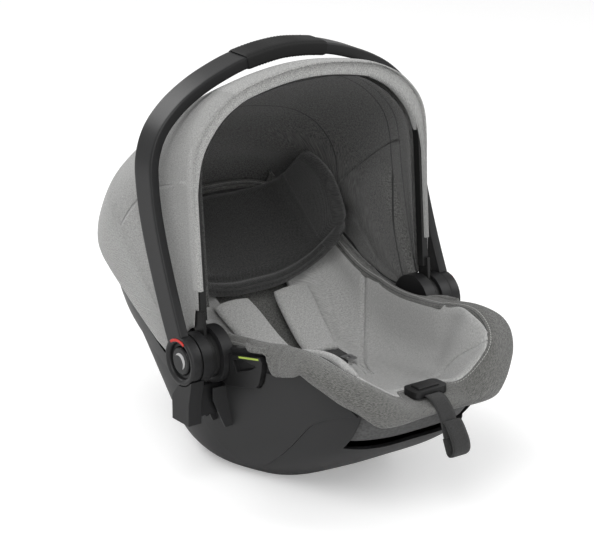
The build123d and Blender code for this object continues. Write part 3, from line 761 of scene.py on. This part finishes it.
def canopy_sheet(inside, first, spare, count):
    """Grid of the canopy a distance inside the outer cloth, and the angle at each of its points.

    Each column is a point of the arch turned about the hubs, from the first angle to the strip."""
    strip_y = np.array([-0.08, 0.036, 0.084, 0.160, 0.250, 0.345])
    strip_z = np.array([0.136, 0.140, 0.157, 0.198, 0.236, 0.251]) + spare
    tries = np.linspace(60, LAST_ANGLE, 229)[:, None]
    slack_at = [0, 7.5, 16, 28, 40, 50, 60, 76, 90, 120]
    slack = [1.0, 1.0, 0.970, 0.938, 0.930, 0.958, 0.984, 0.985, 0.975, 0.975]

    def shaped(angle):
        """The arch at each angle, times the slack there, with its sides kept to the shell's outline."""
        hoop = arch[None, :, 1]
        start = LEG_FOOT - 0.024 * step(angle, 7, 20) + 0.030 * step(angle, 70, 84)
        leg = start + (hoop - LEG_FOOT) * (LEG_TOP - start) / (LEG_TOP - LEG_FOOT)
        over_leg = np.maximum(hoop * follow(angle, slack_at, slack), 0.2)
        radius = np.where(hoop < LEG_TOP, leg, over_leg)
        narrow = 1 - 0.038 * step(angle, 66, 80)
        deep = inside(angle, hoop) if callable(inside) else inside
        proud = CLOTH_PROUD - deep
        x = arch[None, :, 0] * narrow
        grown = radius + proud * step(radius, 0.15, 0.3)
        x = x + np.sign(x) * proud * step(np.abs(x), 0.02, 0.15)
        place = turned(x, grown, angle)
        above = np.maximum(place[..., 2] - np.interp(place[..., 1], strip_y, strip_z), 0.0)
        room = shell_side(place[..., 1], place[..., 2]) + 0.004 - 0.6 * deep + 1.1 * above
        kept_in = np.sign(x) * soft_least(np.abs(x), room, 0.006)
        place[..., 0] = np.where(place[..., 1] > 0.02, kept_in, x)
        return place

    tested = shaped(tries)
    under = tested[..., 2] < np.interp(tested[..., 1], strip_y, strip_z)
    last = np.where(under.any(0), tries[np.argmax(under, axis=0), 0], LAST_ANGLE)
    last = np.convolve(np.pad(last, 6, "edge"), np.ones(13) / 13, "valid")
    angle = first + (last[None, :] - first) * np.linspace(0, 1, count)[:, None]
    return shaped(angle), angle


def fold_with_bow(piece):
    """Bakes a canopy sheet's object transform into its mesh."""
    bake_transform(piece)


def cloth_area(grid):
    """Area of a grid of cloth: half the cross product of each cell's diagonals."""
    cells = np.cross(grid[1:, 1:] - grid[:-1, :-1], grid[1:, :-1] - grid[:-1, 1:])
    return float(0.5 * np.linalg.norm(cells, axis=-1).sum())


canopy_cloth = woven("canopy melange", (0.22, 0.22, 0.216), (0.42, 0.42, 0.41), 0.0030, 2.0,
                     twill=True, fuzz=0.35)
cloth_grid, cloth_angle = canopy_sheet(0.0, 2.0, 0.0, 101)
cloth_grid = cloth_grid[::-1]
cloth_angle = cloth_angle[::-1]
canopy = make_piece("canopy_cloth", [(cloth_grid, chart_of(cloth_grid))], canopy_cloth)
add_skin(canopy, 0.0015, -1)
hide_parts("canopy_fabric", "rear_panel")
cloth_area(cloth_grid)
fold_with_bow(canopy)

# Canopy lining: dark melange under the outer cloth, with two seams close behind the front bow
# and one further back. It lies deeper at the bows, which run between the two layers.
lining_cloth = woven("lining melange", (0.040, 0.040, 0.039), (0.140, 0.140, 0.135), 0.0026, 2.8,
                     fuzz=0.25,
                     lines=((0.036, 0.0016, (0.02, 0.02, 0.02), 0.0),
                            (0.062, 0.0016, (0.02, 0.02, 0.02), 0.0),
                            (0.200, 0.0012, (0.03, 0.03, 0.03), 0.0)))
depth_at = [0, 5, 8, 16, 28, 42, 50, 54, 59, 66, 76, 120]
depth = np.array([20, 20, 18, 10, 6, 6, 12, 17, 17, 8, 5, 5]) / 1000


def lining_depth(angle, radius):
    """Depth of the lining inside the cloth: more round each bow and by the middle bow's legs."""
    by_legs = 0.018 * (1 - step(radius, 0.17, 0.23))
    by_legs = by_legs * step(angle, 18, 32) * (1 - step(angle, 74, 86))
    return np.maximum(follow(angle, depth_at, depth), by_legs)


lining_grid, lining_angle = canopy_sheet(lining_depth, 5.0, 0.004, 91)
lining = make_piece("canopy_inside", [(lining_grid, chart_of(lining_grid))], lining_cloth)
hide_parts("canopy_lining")
cloth_area(lining_grid)
fold_with_bow(lining)

# Front sleeve: the outer cloth folded over the front bow and sewn down as a rounded hem.
# It turns with the bow, and the sheet behind it starts inside it.
hem_arch = arch[(arch[:, 1] > 0.086) | (np.abs(arch[:, 0]) < 0.15)]
hem_way = np.gradient(hem_arch, axis=0)
hem_way /= np.linalg.norm(hem_way, axis=1, keepdims=True)
hem_out = np.stack([-hem_way[:, 1], hem_way[:, 0]], axis=-1)
ring = np.linspace(0, 2 * np.pi, 33)
ring_out = 0.5 * squared(np.cos(ring), 0.6)
ring_deep = squared(np.sin(ring), 0.6)
radial = 0.009 + 0.012 * step(hem_arch[:, 1], 0.2, 0.30)
hem_rise = radial[:, None] * ring_out - 0.5 * radial[:, None] + 0.0032
hem_flat = hem_arch[:, None, :] + hem_out[:, None, :] * hem_rise[..., None]
hem_lean = 4.5 - np.degrees(0.0085 * ring_deep[None, :] / hem_flat[..., 1])
hem_grid = turned(hem_flat[..., 0], hem_flat[..., 1], hem_lean)
hem = make_piece("canopy_hem", [(hem_grid, chart_of(hem_grid))], canopy_cloth, SEAM_GAP)
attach(hem, "front_bow")

# Floor and light: a wide pale sheet under the seat, a white surround and four soft lamps.
# The surround looks white to the camera, and lights the seat at a little over half of that.
floor_mesh = bpy.data.meshes.new("floor")
floor_mesh.from_pydata([(-9, -9, 0), (9, -9, 0), (9, 9, 0), (-9, 9, 0)], [], [(0, 1, 2, 3)])
floor = bpy.data.objects.new("floor", floor_mesh)
bpy.context.scene.collection.objects.link(floor)
floor.location.z = -0.0005
paper, paper_place, _ = start_finish("floor paper")
end_finish(paper, (0.82, 0.82, 0.82), 0.9)
seen = paper_place.add("ShaderNodeLightPath", {}, {})
paper_shader = paper.node_tree.nodes["Principled BSDF"]
paper_shader.inputs["Emission Color"].default_value = (1, 1, 1, 1)
paper.node_tree.links.new((seen * 0.3).socket, paper_shader.inputs["Emission Strength"])
floor_mesh.materials.append(paper)

world = bpy.data.worlds.new("surround")
bpy.context.scene.world = world
world.use_nodes = True
sky = world.node_tree.nodes["Background"]
sky.inputs["Color"].default_value = (1, 1, 1, 1)
path = world.node_tree.nodes.new("ShaderNodeLightPath")
seen_as = ["Is Camera Ray", "Is Transmission Ray"]
direct = sum(Wire(world.node_tree, path.outputs[name]) for name in seen_as)
SURROUND_LIGHT = 0.58
strength = direct * (1 - SURROUND_LIGHT) + SURROUND_LIGHT
world.node_tree.links.new(strength.socket, sky.inputs["Strength"])


def lamp(name, place, aim, size, watts):
    """A square soft box at a place, turned to aim at a point."""
    made = bpy.data.objects.new(name, bpy.data.lights.new(name, "AREA"))
    made.data.energy = watts
    made.data.size = size
    made.location = place
    made.rotation_mode = "QUATERNION"
    made.rotation_quaternion = (Vector(aim) - Vector(place)).to_track_quat("-Z", "Y")
    bpy.context.scene.collection.objects.link(made)


lamp("key lamp", (-1.6, -1.4, 2.6), (0, 0, 0.25), 1.6, 40)
lamp("front lamp", (-1.3, -2.8, 1.5), (0, 0, 0.25), 1.8, 26)
lamp("side lamp", (2.2, -1.2, 1.8), (0, 0, 0.25), 1.6, 22)
lamp("rear lamp", (-0.6, 2.2, 2.0), (0, 0, 0.3), 1.4, 26)
